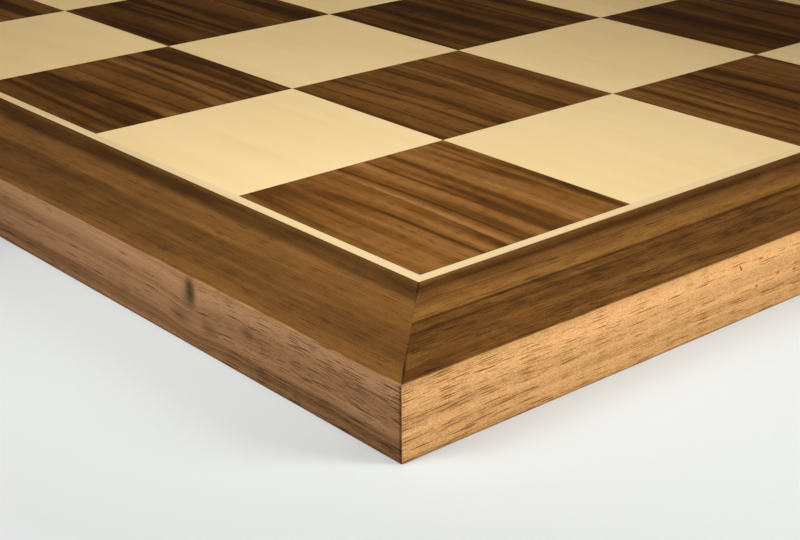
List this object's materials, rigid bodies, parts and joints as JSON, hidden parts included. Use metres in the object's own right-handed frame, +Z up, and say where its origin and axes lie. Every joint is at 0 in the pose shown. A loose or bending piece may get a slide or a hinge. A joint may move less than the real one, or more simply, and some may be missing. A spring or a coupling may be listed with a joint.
{
  "type": "chess board",
  "caption": "Flat wooden chess board: inlaid dark and light squares, a thin pale line round the field, and a flush mitred walnut frame.",
  "frame": {"origin": "middle of the underside", "axes": "+Z up, out of the playing surface; +X along the ranks from file a to file h; +Y along the files from rank 1 to rank 8. Square a1, a dark one, is at the -X, -Y corner."},
  "size_m": [0.5016, 0.5016, 0.0138],
  "materials": {
    "walnut_squares": "quarter-cut walnut veneer, satin oil",
    "maple_squares": "maple veneer, satin oil",
    "maple_line": "maple stringing, satin oil",
    "walnut_frame": "solid walnut, sanded and oiled",
    "walnut_backing": "walnut balancing veneer, sealed",
    "fibreboard_core": "bare medium density fibreboard",
    "birch_splines": "bare birch plywood"
  },
  "bodies": {
    "root": {"core_panel": "fibreboard_core", "backing_veneer": "walnut_backing", "front_rail": "walnut_frame", "right_rail": "walnut_frame", "back_rail": "walnut_frame", "left_rail": "walnut_frame", "front_line": "maple_line", "right_line": "maple_line", "back_line": "maple_line", "left_line": "maple_line", "front_left_spline": "birch_splines", "front_right_spline": "birch_splines", "back_right_spline": "birch_splines", "back_left_spline": "birch_splines", "rank_1_dark_squares": "walnut_squares", "rank_1_light_squares": "maple_squares", "rank_2_dark_squares": "walnut_squares", "rank_2_light_squares": "maple_squares", "rank_3_dark_squares": "walnut_squares", "rank_3_light_squares": "maple_squares", "rank_4_dark_squares": "walnut_squares", "rank_4_light_squares": "maple_squares", "rank_5_dark_squares": "walnut_squares", "rank_5_light_squares": "maple_squares", "rank_6_dark_squares": "walnut_squares", "rank_6_light_squares": "maple_squares", "rank_7_dark_squares": "walnut_squares", "rank_7_light_squares": "maple_squares", "rank_8_dark_squares": "walnut_squares", "rank_8_light_squares": "maple_squares"}
  },
  "joints": []
}
